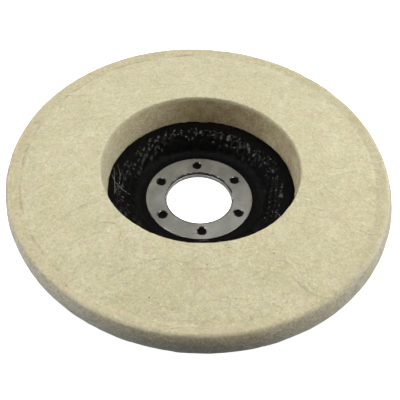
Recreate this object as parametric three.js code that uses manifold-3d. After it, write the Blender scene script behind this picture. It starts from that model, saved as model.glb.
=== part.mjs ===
// A felt polishing disc for an angle grinder. A pressed wool felt ring is glued to a depressed-centre plate
// of resin-bonded glass plies, and two pierced steel rings clamp the plies round the bore.
// Millimetres, with +Z along the spindle axis towards the working face. The origin is on the axis, in the
// plane where the rear hub ring seats on the grinder's flange.
import * as THREE from "three";
import { mergeVertices } from "three/addons/utils/BufferGeometryUtils.js";
import Module from "manifold-3d";

// Resolution. All the bonded layers share their steps round the axis, so that their facets nest.
const SEGMENTS = 48;
const HOLE_SEGMENTS = 16;
const CORNER_STEPS = 2;
const LAYER_GAP = 0.03; // between two bonded layers, so that their solids never overlap

// Hub rings, stamped from thin sheet
const BORE_RADIUS = 11.115; // the 22.23 mm arbor hole of a 115 or 125 mm grinding disc
const HUB_RADIUS = 18.1;
const HUB_SHEET = 0.5;
const HUB_EDGE = 0.12; // rounding of the sheet's outer corner
const FRONT_BORE_RADIUS = 11.35;
const FRONT_EDGE_ROLL = 0.3; // rounding of the front ring's inner corner
const REAR_EDGE_ROLL = 0.3;
const COLLAR_HEIGHT = 0.95; // the rear ring's collar, which stands up inside the plies' bore
const COLLAR_WALL = 0.45;
const COLLAR_LIP_ROUNDING = 0.12;

// Pierced holes: each is punched through one ring, and its burr bites into the plies behind that ring
const HOLE_COUNT = 6;
const HOLE_CIRCLE_RADIUS = 14.7;
const HOLE_RADIUS = 1.45;
const HOLE_ROLLOVER = 0.25;
const BURR_DEPTH = 0.46;
const BURR_ROOT_WALL = 0.4;
const BURR_TIP_WALL = 0.15;
const POCKET_CLEARANCE = 0.3;
const FRONT_HOLE_START = 90; // degrees; the rear ring's holes lie halfway between the front ring's
const REAR_HOLE_START = FRONT_HOLE_START + 180 / HOLE_COUNT;

// Backing plate: a flat hub, an S-bend up to a crest, and an annulus that falls gently towards the rim
const PLIES = [
  { name: "front_cloth_ply", thickness: 0.2, colour: 0x121214, roughness: 0.35, burrs: "front" },
  { name: "front_mesh_ply", thickness: 0.33, colour: 0x2a2622, roughness: 0.6, burrs: "front" },
  { name: "middle_mesh_ply", thickness: 0.34, colour: 0x2a2622, roughness: 0.6, burrs: "none" },
  { name: "rear_mesh_ply", thickness: 0.33, colour: 0x2a2622, roughness: 0.6, burrs: "rear" },
  { name: "rear_cloth_ply", thickness: 0.2, colour: 0x121214, roughness: 0.35, burrs: "rear" },
];
const PLATE_BORE_RADIUS = 11.95;
const PLATE_RIM_RADIUS = 55;
const BEND_START_RADIUS = 19.3;
const BEND_ANGLE = THREE.MathUtils.degToRad(40);
const LOWER_BEND_RADIUS = 4; // of the plate's front surface, like the next one
const UPPER_BEND_RADIUS = 9;
const LOWER_BEND_STEPS = 2;
const UPPER_BEND_STEPS = 3;
const PLATE_RISE = 5.8; // from the hub's flat to the crest
const CONE_ANGLE = THREE.MathUtils.degToRad(3); // the annulus's fall towards the rim

// Felt ring and the glue under it
const GLUE_THICKNESS = 0.25;
const GLUE_INSET = 0.5; // from the felt's foot and from the plate's rim
const FELT_FOOT_RADIUS = 31.4;
const FELT_MOUTH_RADIUS = 32.4;
const FELT_RADIUS = 62.5;
const FELT_DEPTH = 10.8; // at the inner wall
const FACE_ANGLE = THREE.MathUtils.degToRad(6.7); // the working face's fall towards the rim
const LIP_RADIUS = 58.2; // a faint crease, outside which the face is a lip that rises a little
const LIP_RISE = 0.1;
const FELT_TOP_ROUNDING = 1;
const FELT_BOTTOM_ROUNDING = 0.6;

const wasm = await Module();
wasm.setup();

/** A geometry of bare positions and triangles as a solid that can be joined and cut. */
function solidOf(geometry) {
  geometry.deleteAttribute("normal");
  geometry.deleteAttribute("uv");
  const merged = mergeVertices(geometry);
  const vertProperties = Float32Array.from(merged.attributes.position.array);
  const triVerts = Uint32Array.from(merged.index.array);
  return new wasm.Manifold(new wasm.Mesh({ numProp: 3, vertProperties, triVerts }));
}

function geometryOf(solid) {
  const { vertProperties, triVerts } = solid.getMesh();
  const geometry = new THREE.BufferGeometry();
  geometry.setAttribute("position", new THREE.BufferAttribute(vertProperties, 3));
  geometry.setIndex(new THREE.BufferAttribute(triVerts, 1));
  geometry.computeVertexNormals();
  return geometry;
}

/** The outline through corners [r, z, radius], with an arc at each corner that has a radius. */
function rounded(corners) {
  const centreOfTurn = new THREE.Vector2();
  const place = (i) => new THREE.Vector2(...corners.at(i % corners.length).slice(0, 2));
  return corners.flatMap(([, , radius = 0], i) => {
    const corner = place(i);
    if (radius === 0) return [corner];
    const back = place(i - 1).sub(corner).normalize();
    const ahead = place(i + 1).sub(corner).normalize();
    const half = back.angleTo(ahead) / 2;
    const centre = back.clone().add(ahead).setLength(radius / Math.sin(half)).add(corner);
    const first = back.multiplyScalar(radius / Math.tan(half)).add(corner).sub(centre);
    const last = ahead.multiplyScalar(radius / Math.tan(half)).add(corner).sub(centre);
    const sweep = Math.sign(first.cross(last)) * first.angleTo(last);
    const arc = [];
    for (let step = 0; step <= CORNER_STEPS; step += 1) {
      const turn = (sweep * step) / CORNER_STEPS;
      arc.push(first.clone().rotateAround(centreOfTurn, turn).add(centre));
    }
    return arc;
  });
}

/** A closed outline in (r, z), anticlockwise with +r to the right, turned about the Z axis. */
function turned(outline) {
  const geometry = new THREE.LatheGeometry([...outline, outline[0].clone()], SEGMENTS);
  return geometry.rotateX(Math.PI / 2);
}

/** A plug on the Z axis, tapering from one radius and height to another. */
function plug(lowRadius, lowZ, highRadius, highZ) {
  const geometry = new THREE.CylinderGeometry(highRadius, lowRadius, highZ - lowZ, HOLE_SEGMENTS);
  return geometry.rotateX(Math.PI / 2).translate(0, 0, (highZ + lowZ) / 2);
}

/** Copies of a geometry at the holes' places, as one solid. */
function atHoles(geometry, startDegrees) {
  let all = null;
  for (let i = 0; i < HOLE_COUNT; i += 1) {
    const angle = THREE.MathUtils.degToRad(startDegrees + (360 / HOLE_COUNT) * i);
    const copy = geometry.clone().translate(HOLE_CIRCLE_RADIUS, 0, 0).rotateZ(angle);
    all = all ? all.add(solidOf(copy)) : solidOf(copy);
  }
  return all;
}

// The stack's heights at the hub
const laminate = PLIES.reduce((sum, ply) => sum + ply.thickness, 0);
const plateFrontZ = HUB_SHEET + laminate;
const hubHeight = plateFrontZ + HUB_SHEET;

// The bends' centres. Both bends keep them at every depth, so that the plies run parallel.
const bendRise = (LOWER_BEND_RADIUS + UPPER_BEND_RADIUS) * (1 - Math.cos(BEND_ANGLE));
const rampLength = (PLATE_RISE - bendRise) / Math.sin(BEND_ANGLE);
const bendRun = (LOWER_BEND_RADIUS + UPPER_BEND_RADIUS) * Math.sin(BEND_ANGLE);
const crestRadius = BEND_START_RADIUS + bendRun + rampLength * Math.cos(BEND_ANGLE);
const lowerBendCentre = new THREE.Vector2(BEND_START_RADIUS, plateFrontZ + LOWER_BEND_RADIUS);
const upperBendCentre = new THREE.Vector2(crestRadius, plateFrontZ + PLATE_RISE - UPPER_BEND_RADIUS);

/** The height of the annulus, or of its cone continued inwards, at a depth below the front surface. */
function annulusZ(r, depth) {
  const toSurface = (UPPER_BEND_RADIUS - depth) / Math.cos(CONE_ANGLE);
  return upperBendCentre.y + toSurface - (r - upperBendCentre.x) * Math.tan(CONE_ANGLE);
}

/** The plate's section from bore to rim, at a depth below its front surface. */
function plateSection(depth) {
  const points = [new THREE.Vector2(PLATE_BORE_RADIUS, plateFrontZ - depth)];
  for (let step = 0; step <= LOWER_BEND_STEPS; step += 1) {
    const turn = -Math.PI / 2 + (BEND_ANGLE * step) / LOWER_BEND_STEPS;
    const arm = new THREE.Vector2(Math.cos(turn), Math.sin(turn));
    points.push(arm.multiplyScalar(LOWER_BEND_RADIUS + depth).add(lowerBendCentre));
  }
  for (let step = 0; step <= UPPER_BEND_STEPS; step += 1) {
    const turn = Math.PI / 2 + BEND_ANGLE - ((BEND_ANGLE + CONE_ANGLE) * step) / UPPER_BEND_STEPS;
    const arm = new THREE.Vector2(Math.cos(turn), Math.sin(turn));
    points.push(arm.multiplyScalar(UPPER_BEND_RADIUS - depth).add(upperBendCentre));
  }
  points.push(new THREE.Vector2(PLATE_RIM_RADIUS, annulusZ(PLATE_RIM_RADIUS, depth)));
  return points;
}

/** The part of a section between two radii. */
function between(section, innerRadius, outerRadius) {
  const at = (r) => {
    const next = section.findIndex((point) => point.x >= r);
    const [a, b] = [section[next - 1], section[next]];
    return a.clone().lerp(b, (r - a.x) / (b.x - a.x));
  };
  const inside = section.filter((point) => point.x > innerRadius && point.x < outerRadius);
  return [at(innerRadius), ...inside, at(outerRadius)];
}

/** One ply, with pockets where a ring's burrs pierce it. */
function plyGeometry(depth, thickness, burrs) {
  const front = plateSection(depth + LAYER_GAP / 2);
  const rear = plateSection(depth + thickness - LAYER_GAP / 2);
  const sheet = turned([...rear, ...front.reverse()]);
  if (burrs === "none") return sheet;
  const pocketRadius = HOLE_RADIUS + BURR_ROOT_WALL + POCKET_CLEARANCE;
  const pocket = plug(pocketRadius, 0, pocketRadius, hubHeight);
  const start = burrs === "front" ? FRONT_HOLE_START : REAR_HOLE_START;
  return geometryOf(solidOf(sheet).subtract(atHoles(pocket, start)));
}

/** A hub ring with its outer face up at z = 0, and its burrs and any collar pointing down. */
function hubRingGeometry({ boreRadius, edgeRoll, collarHeight, holeStart }) {
  const neckRadius = boreRadius + COLLAR_WALL;
  const neckZ = -HUB_SHEET - collarHeight;
  const foot = [
    [boreRadius, neckZ, COLLAR_LIP_ROUNDING],
    [neckRadius, neckZ, COLLAR_LIP_ROUNDING],
    [neckRadius, -HUB_SHEET],
  ];
  const section = rounded([
    ...(collarHeight > 0 ? foot : [[boreRadius, -HUB_SHEET]]),
    [HUB_RADIUS, -HUB_SHEET],
    [HUB_RADIUS, 0, HUB_EDGE],
    [boreRadius, 0, edgeRoll],
  ]);
  const tipZ = -HUB_SHEET - BURR_DEPTH;
  const burr = plug(HOLE_RADIUS + BURR_TIP_WALL, tipZ, HOLE_RADIUS + BURR_ROOT_WALL, -HUB_SHEET / 2);
  const bite = plug(HOLE_RADIUS, tipZ - HUB_SHEET, HOLE_RADIUS, HUB_SHEET);
  const mouth = plug(HOLE_RADIUS, -HOLE_ROLLOVER, HOLE_RADIUS + 2 * HOLE_ROLLOVER, HOLE_ROLLOVER);
  const ring = solidOf(turned(section)).add(atHoles(burr, holeStart));
  return geometryOf(ring.subtract(atHoles(bite, holeStart)).subtract(atHoles(mouth, holeStart)));
}

/** The height of the felt's underside, which runs parallel to the plate's annulus. */
function feltUndersideZ(r) {
  return annulusZ(r, -GLUE_THICKNESS);
}

/** The glue bed, which fills the space between the plate's front surface and the felt's underside. */
function glueGeometry() {
  const innerRadius = FELT_FOOT_RADIUS + GLUE_INSET;
  const outerRadius = PLATE_RIM_RADIUS - GLUE_INSET;
  const bottom = between(plateSection(-LAYER_GAP / 2), innerRadius, outerRadius);
  const top = [outerRadius, innerRadius].map((r) => new THREE.Vector2(r, feltUndersideZ(r) - LAYER_GAP));
  return turned([...bottom, ...top]);
}

function feltGeometry() {
  const mouthZ = feltUndersideZ(FELT_FOOT_RADIUS) + FELT_DEPTH;
  const lipZ = mouthZ - (LIP_RADIUS - FELT_MOUTH_RADIUS) * Math.tan(FACE_ANGLE);
  return turned(
    rounded([
      [FELT_FOOT_RADIUS, feltUndersideZ(FELT_FOOT_RADIUS)],
      [FELT_RADIUS, feltUndersideZ(FELT_RADIUS), FELT_BOTTOM_ROUNDING],
      [FELT_RADIUS, lipZ + LIP_RISE, FELT_TOP_ROUNDING],
      [LIP_RADIUS, lipZ],
      [FELT_MOUTH_RADIUS, mouthZ, FELT_TOP_ROUNDING],
    ])
  );
}

const part = new THREE.Group();

function addPiece(name, geometry, color, roughness, metalness) {
  const mesh = new THREE.Mesh(geometry, new THREE.MeshStandardMaterial({ color, roughness, metalness }));
  mesh.name = name;
  part.add(mesh);
  return mesh;
}

addPiece("felt_ring", feltGeometry(), 0xcdc7a6, 0.95, 0);
addPiece("glue_bed", glueGeometry(), 0x8c7748, 0.45, 0);

let depth = 0;
for (const { name, thickness, colour, roughness, burrs } of PLIES) {
  addPiece(name, plyGeometry(depth, thickness, burrs), colour, roughness, 0);
  depth += thickness;
}

const frontRing = hubRingGeometry({
  boreRadius: FRONT_BORE_RADIUS,
  edgeRoll: FRONT_EDGE_ROLL,
  collarHeight: 0,
  holeStart: FRONT_HOLE_START,
});
addPiece("front_hub_ring", frontRing, 0x8a8a86, 0.45, 0.9).position.z = hubHeight;

const rearRing = hubRingGeometry({
  boreRadius: BORE_RADIUS,
  edgeRoll: REAR_EDGE_ROLL,
  collarHeight: COLLAR_HEIGHT,
  holeStart: REAR_HOLE_START,
});
addPiece("rear_hub_ring", rearRing, 0x8a8a86, 0.45, 0.9).rotation.x = Math.PI;

export default part;
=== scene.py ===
"""The looks of a felt polishing disc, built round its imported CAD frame.

Each piece is made here in millimetres, in the frame's own axes: +Z is the spindle axis, the origin lies in the
rear hub ring's seating plane, and angles are azimuths from +X towards +Y. build() turns them into metres.
"""
import itertools
import math

import bpy
import numpy as np
from mathutils import Matrix, Vector, geometry


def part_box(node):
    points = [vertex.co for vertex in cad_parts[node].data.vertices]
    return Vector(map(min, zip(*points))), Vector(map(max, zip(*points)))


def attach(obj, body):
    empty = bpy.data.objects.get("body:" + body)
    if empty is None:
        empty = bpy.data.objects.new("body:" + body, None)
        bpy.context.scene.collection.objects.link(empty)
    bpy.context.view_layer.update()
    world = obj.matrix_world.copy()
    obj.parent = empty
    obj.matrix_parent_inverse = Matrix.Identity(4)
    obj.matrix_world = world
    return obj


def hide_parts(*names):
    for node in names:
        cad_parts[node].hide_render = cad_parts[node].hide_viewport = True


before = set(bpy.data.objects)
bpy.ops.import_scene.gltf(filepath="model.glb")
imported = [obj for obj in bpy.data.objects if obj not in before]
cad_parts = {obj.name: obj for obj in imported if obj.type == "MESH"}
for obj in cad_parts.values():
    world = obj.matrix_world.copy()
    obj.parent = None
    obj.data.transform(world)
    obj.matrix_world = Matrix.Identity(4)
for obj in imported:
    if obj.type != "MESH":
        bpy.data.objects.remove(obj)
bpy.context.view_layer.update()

MM = 0.001


def box_mm(node):
    """A CAD node's lowest and highest corners, in millimetres."""
    low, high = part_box(node)
    return np.array(low) / MM, np.array(high) / MM


# Sizes from the frame
FELT_RADIUS = box_mm("felt_ring")[1][0]
MOUTH_Z = box_mm("felt_ring")[1][2]
FELT_LOW_Z = box_mm("felt_ring")[0][2]
HUB_RADIUS = box_mm("front_hub_ring")[1][0]
HUB_TOP_Z = box_mm("front_hub_ring")[1][2]
COLLAR_TOP_Z = box_mm("rear_hub_ring")[1][2]
RIM_RADIUS = box_mm("front_cloth_ply")[1][0]

# Sizes that repeat the CAD's driving dimensions
HUB_SHEET = 0.5
HUB_EDGE = 0.12
BORE_RADIUS = 11.115
FRONT_BORE_RADIUS = 11.35
EDGE_ROLL = 0.3
COLLAR_WALL = 0.45
HOLE_COUNT = 6
HOLE_CIRCLE_RADIUS = 14.7
HOLE_RADIUS = 1.45
HOLE_ROLLOVER = 0.25
BURR_DEPTH = 0.46
BURR_ROOT_WALL = 0.4
BURR_TIP_WALL = 0.15
FRONT_HOLE_START = 90
REAR_HOLE_START = 120
PLIES = {  # depth of each ply's front and back below the plate's front surface
    "front_cloth_ply": (0.0, 0.2),
    "front_mesh_ply": (0.2, 0.53),
    "middle_mesh_ply": (0.53, 0.87),
    "rear_mesh_ply": (0.87, 1.2),
    "rear_cloth_ply": (1.2, 1.4),
}
LAMINATE = 1.4
LAYER_GAP = 0.03
PLATE_BORE_RADIUS = 11.95
PLATE_FRONT_Z = HUB_SHEET + LAMINATE
PLATE_RISE = 5.8
BEND_START_RADIUS = 19.3
BEND_ANGLE = math.radians(40)
LOWER_BEND_RADIUS = 4.0
UPPER_BEND_RADIUS = 9.0
CONE_ANGLE = math.radians(3)
GLUE_THICKNESS = 0.25
FELT_FOOT_RADIUS = 31.4
FELT_MOUTH_RADIUS = 32.4
FACE_ANGLE = math.radians(6.7)
LIP_RADIUS = 58.2


# --- noise, for relief that repeats exactly

NOISE_TABLE = np.random.default_rng(11).uniform(-1, 1, 4096)


def bumps(points, size, seed=0):
    """Smooth noise from -1 to 1 at points, an (..., 3) array, with bumps about size across."""
    scaled = np.asarray(points) / size + 31.7 * (seed + 1)
    cell = np.floor(scaled).astype(np.int64)
    part = scaled - cell
    part = part**3 * (part * (part * 6 - 15) + 10)
    total = np.zeros(scaled.shape[:-1])
    for corner in itertools.product((0, 1), repeat=3):
        x, y, z = np.moveaxis(cell + np.array(corner), -1, 0)
        mixed = (x * 73856093) ^ (y * 19349663) ^ (z * 83492791)
        weight = np.prod(np.where(np.array(corner) == 1, part, 1 - part), axis=-1)
        total += weight * NOISE_TABLE[mixed & 4095]
    return total


def rough(points, size, octaves, seed=0):
    """Several sizes of bumps, each half the size and height of the last."""
    return sum(bumps(points, size / 2**k, seed + k) / 2**k for k in range(octaves))


def smooth_step(low, high, value):
    t = np.clip((value - low) / (high - low), 0, 1)
    return t * t * (3 - 2 * t)


# --- meshes


def link(name, data):
    """A new object in the scene."""
    thing = bpy.data.objects.new(name, data)
    bpy.context.scene.collection.objects.link(thing)
    return thing


def mesh_object(name, points, faces, material):
    """A new mesh object, from points in millimetres."""
    mesh = bpy.data.meshes.new(name)
    mesh.from_pydata(np.asarray(points, float) * MM, [], [list(map(int, f)) for f in faces])
    mesh.materials.append(material)
    return link(name, mesh)


def build(name, points, faces, material, node=None):
    """A smooth-shaded piece, riding on the disc's one body."""
    piece = mesh_object(name, points, faces, material)
    piece.data.polygons.foreach_set("use_smooth", [True] * len(piece.data.polygons))
    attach(piece, "root")
    if node:
        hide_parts(node)
    return piece


def build_closed(name, rings, material, node):
    """A piece made of rings of points, each joined to the next and the last to the first."""
    return build(name, rings.reshape(-1, 3), grid_quads(*rings.shape[:2], True), material, node)


def grid_quads(rows, columns, close_rows):
    """Quads over a grid of points whose columns close on themselves, and whose rows do too if asked."""
    index = np.arange(rows * columns).reshape(rows, columns)
    right = np.roll(index, -1, axis=1)
    here, beside = (index, right) if close_rows else (index[:-1], right[:-1])
    above = np.roll(index, -1, axis=0) if close_rows else index[1:]
    above_right = np.roll(right, -1, axis=0) if close_rows else right[1:]
    return np.stack([here, beside, above_right, above], axis=-1).reshape(-1, 4)


def revolve(section, segments):
    """The points or normals of an (r, z) section, (n, 2), turned about the Z axis: an (n, segments, 3) array."""
    turn = np.linspace(0, 2 * np.pi, segments, endpoint=False)
    r, z = section[:, 0, None], section[:, 1, None]
    return np.stack([r * np.cos(turn), r * np.sin(turn), z + 0 * turn], axis=-1)


def section_normals(section):
    """Outward normals, in (r, z), of a closed anticlockwise section."""
    along = np.roll(section, -1, axis=0) - np.roll(section, 1, axis=0)
    along /= np.linalg.norm(along, axis=1, keepdims=True)
    return np.stack([along[:, 1], -along[:, 0]], axis=-1)


def rounded(corners, arc_steps=6):
    """The closed outline through corners (r, z, radius), with an arc at each corner that has a radius."""
    points = []
    for i, (r, z, radius) in enumerate(corners):
        corner = np.array([r, z])
        if radius == 0:
            points.append(corner)
            continue
        back = np.array(corners[i - 1][:2]) - corner
        ahead = np.array(corners[(i + 1) % len(corners)][:2]) - corner
        back /= np.linalg.norm(back)
        ahead /= np.linalg.norm(ahead)
        half = math.acos(float(back @ ahead)) / 2
        centre = corner + (back + ahead) / np.linalg.norm(back + ahead) * radius / math.sin(half)
        first = corner + back * radius / math.tan(half) - centre
        last = corner + ahead * radius / math.tan(half) - centre
        start = math.atan2(first[1], first[0])
        sweep = math.atan2(first[0] * last[1] - first[1] * last[0], first @ last)
        for t in np.linspace(0, 1, arc_steps + 1):
            turn = start + sweep * t
            points.append(centre + radius * np.array([math.cos(turn), math.sin(turn)]))
    return np.array(points)


def resample(outline, spacing_at):
    """Points along a closed outline, spaced as spacing_at(middle point) says, and kept at its corners."""
    points = []
    for a, b in zip(outline, np.roll(outline, -1, axis=0)):
        steps = max(1, round(float(np.linalg.norm(b - a)) / spacing_at((a + b) / 2)))
        points += [a + (b - a) * k / steps for k in range(steps)]
    return np.array(points)


# --- the plate's section, as in the CAD

BEND_SUM = LOWER_BEND_RADIUS + UPPER_BEND_RADIUS
RAMP = (PLATE_RISE - BEND_SUM * (1 - math.cos(BEND_ANGLE))) / math.sin(BEND_ANGLE)
CREST_RADIUS = BEND_START_RADIUS + BEND_SUM * math.sin(BEND_ANGLE) + RAMP * math.cos(BEND_ANGLE)
LOWER_CENTRE = np.array([BEND_START_RADIUS, PLATE_FRONT_Z + LOWER_BEND_RADIUS])
UPPER_CENTRE = np.array([CREST_RADIUS, PLATE_FRONT_Z + PLATE_RISE - UPPER_BEND_RADIUS])


def annulus_z(r, depth):
    """The height of the coned rim at a radius, at a depth below the plate's front surface."""
    to_surface = (UPPER_BEND_RADIUS - depth) / math.cos(CONE_ANGLE)
    return UPPER_CENTRE[1] + to_surface - (r - UPPER_CENTRE[0]) * math.tan(CONE_ANGLE)


def plate_section(depth, bend_steps=12):
    """(r, z) points from bore to rim, at a depth below the plate's front surface."""
    points = [(PLATE_BORE_RADIUS, PLATE_FRONT_Z - depth)]
    for t in np.linspace(0, 1, bend_steps + 1):
        turn = -math.pi / 2 + BEND_ANGLE * t
        points.append(LOWER_CENTRE + (LOWER_BEND_RADIUS + depth) * np.array([math.cos(turn), math.sin(turn)]))
    for t in np.linspace(0, 1, bend_steps + 1):
        turn = math.pi / 2 + BEND_ANGLE - (BEND_ANGLE + CONE_ANGLE) * t
        points.append(UPPER_CENTRE + (UPPER_BEND_RADIUS - depth) * np.array([math.cos(turn), math.sin(turn)]))
    points.append((RIM_RADIUS, annulus_z(RIM_RADIUS, depth)))
    return np.array(points)


def plate_z(r, depth):
    """The height of the plate at a radius, at a depth below its front surface."""
    section = plate_section(depth)
    return np.interp(r, section[:, 0], section[:, 1])


def felt_underside_z(r):
    return annulus_z(r, -GLUE_THICKNESS)


# --- materials


class Nodes:
    """A short way to write a node tree: each call adds a node and returns its first or named output."""

    def __init__(self, owner):
        self.owner = owner
        owner.use_nodes = True
        self.tree = owner.node_tree
        self.tree.nodes.clear()
        kind, place = ("Material", "Object") if isinstance(owner, bpy.types.Material) else ("World", "Generated")
        self.output = self.add("ShaderNodeOutput" + kind)
        self.place = self.add("ShaderNodeTexCoord").outputs[place]

    def add(self, kind, inputs=(), **settings):
        """A node with its settings set and its inputs, a dict by name or number, fed."""
        node = self.tree.nodes.new(kind)
        for key, value in settings.items():
            setattr(node, key, value)
        for key, value in dict(inputs).items():
            self.feed(node.inputs[key], value)
        return node

    def feed(self, socket, value):
        if isinstance(value, bpy.types.NodeSocket):
            self.tree.links.new(value, socket)
        else:
            socket.default_value = (*value, 1.0) if socket.type == "RGBA" else value

    def noise(self, size_mm, detail=2.0, roughness=0.5, distortion=0.0, **moved):
        return self.add("ShaderNodeTexNoise", {
            "Vector": self.moved(**moved) if moved else self.place, "Scale": 1 / (size_mm * MM),
            "Detail": detail, "Roughness": roughness, "Distortion": distortion,
        }).outputs["Fac"]

    def moved(self, scale=(1, 1, 1), rotation=(0, 0, 0), location=(0, 0, 0)):
        """The surface's coordinates, moved so that a texture read from them differs."""
        inputs = {"Vector": self.place, "Scale": scale, "Rotation": rotation, "Location": location}
        return self.add("ShaderNodeMapping", inputs).outputs["Vector"]

    def math(self, operation, a, b=0.0):
        return self.add("ShaderNodeMath", {0: a, 1: b}, operation=operation).outputs[0]

    def times(self, *factors):
        """The product of two or more values."""
        product = factors[0]
        for factor in factors[1:]:
            product = self.math("MULTIPLY", product, factor)
        return product

    def ramp(self, value, low, high, to_low=0.0, to_high=1.0):
        """value from low to high, mapped smoothly to to_low to to_high."""
        return self.add("ShaderNodeMapRange", {
            "Value": value, "From Min": low, "From Max": high, "To Min": to_low, "To Max": to_high,
        }, interpolation_type="SMOOTHSTEP").outputs["Result"]

    def mix(self, amount, a, b, blend="MIX"):
        """Colour a, with an amount of colour b mixed in or multiplied over it."""
        inputs = {"Factor": amount, 6: a, 7: b}
        return self.add("ShaderNodeMix", inputs, data_type="RGBA", blend_type=blend).outputs[2]

    def strands(self, size_mm, seed):
        """Thin curving lines, broken into lengths, as hairs lie on felt: 1 on a hair and 0 off it."""
        winding = self.noise(size_mm, 0, location=(seed, 2 * seed, 0))
        line = self.ramp(self.math("ABSOLUTE", self.math("SUBTRACT", winding, 0.5)), 0.011, 0.003)
        broken = self.noise(0.9 * size_mm, 1, location=(0, seed, 3 * seed))
        return self.times(line, self.ramp(broken, 0.50, 0.60))

    def radius(self):
        """The distance from the spindle axis, in millimetres."""
        flat = self.add("ShaderNodeVectorMath", {0: self.place, 1: (1 / MM, 1 / MM, 0)}, operation="MULTIPLY")
        return self.add("ShaderNodeVectorMath", {0: flat.outputs[0]}, operation="LENGTH").outputs["Value"]

    def along(self, azimuth):
        """The distance from the spindle axis towards an azimuth in degrees, in millimetres."""
        turn = math.radians(azimuth)
        inputs = {0: self.place, 1: (math.cos(turn) / MM, math.sin(turn) / MM, 0)}
        return self.add("ShaderNodeVectorMath", inputs, operation="DOT_PRODUCT").outputs["Value"]

    def split(self, vector=None):
        """The X, Y and Z of a vector, or else of the place."""
        return self.add("ShaderNodeSeparateXYZ", {0: vector or self.place}).outputs

    def height(self):
        """The height above the seating plane, in millimetres."""
        return self.times(self.split()["Z"], 1 / MM)

    def from_hole(self, radius):
        """The distance in the front ring's plane from its nearest pierced hole's centre, in millimetres."""
        place = self.split()
        azimuth = self.math("ARCTAN2", place["Y"], place["X"])
        turned = self.math("ADD", azimuth, 2 * math.pi - math.radians(FRONT_HOLE_START))  # never negative
        aside = self.math("COSINE", self.math("PINGPONG", turned, math.pi / HOLE_COUNT))
        both = self.times(radius, aside, 2 * HOLE_CIRCLE_RADIUS)
        squares = self.math("ADD", self.times(radius, radius), HOLE_CIRCLE_RADIUS**2)
        return self.math("SQRT", self.math("SUBTRACT", squares, both))

    def bump(self, height, depth_mm, strength=1.0, under=None):
        """Normals for a height of 0 to 1 over depth_mm, on top of the normals under it."""
        inputs = {"Height": height, "Distance": depth_mm * MM, "Strength": strength}
        return self.add("ShaderNodeBump", inputs | ({"Normal": under} if under else {})).outputs["Normal"]

    def shader(self, **inputs):
        """Ends a material with these values of the Principled shader."""
        node = self.add("ShaderNodeBsdfPrincipled", {name.replace("_", " "): v for name, v in inputs.items()})
        self.feed(self.output.inputs["Surface"], node.outputs[0])
        return self.owner


def new_material(name):
    return Nodes(bpy.data.materials.new(name))


CREASE_RADIUS = LIP_RADIUS + 0.2  # of the grime along the lip
# Radii and heights over which the walls' colours set in
INSIDE_RADII = (FELT_MOUTH_RADIUS + 1.2, FELT_MOUTH_RADIUS + 0.5)
INSIDE_HEIGHTS = (18.2, 16.6)
OUTSIDE_RADII = (FELT_RADIUS - 0.5, FELT_RADIUS + 0.1)
FLECK_CELL = 3.4  # the cell that may hold one dark fleck


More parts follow.
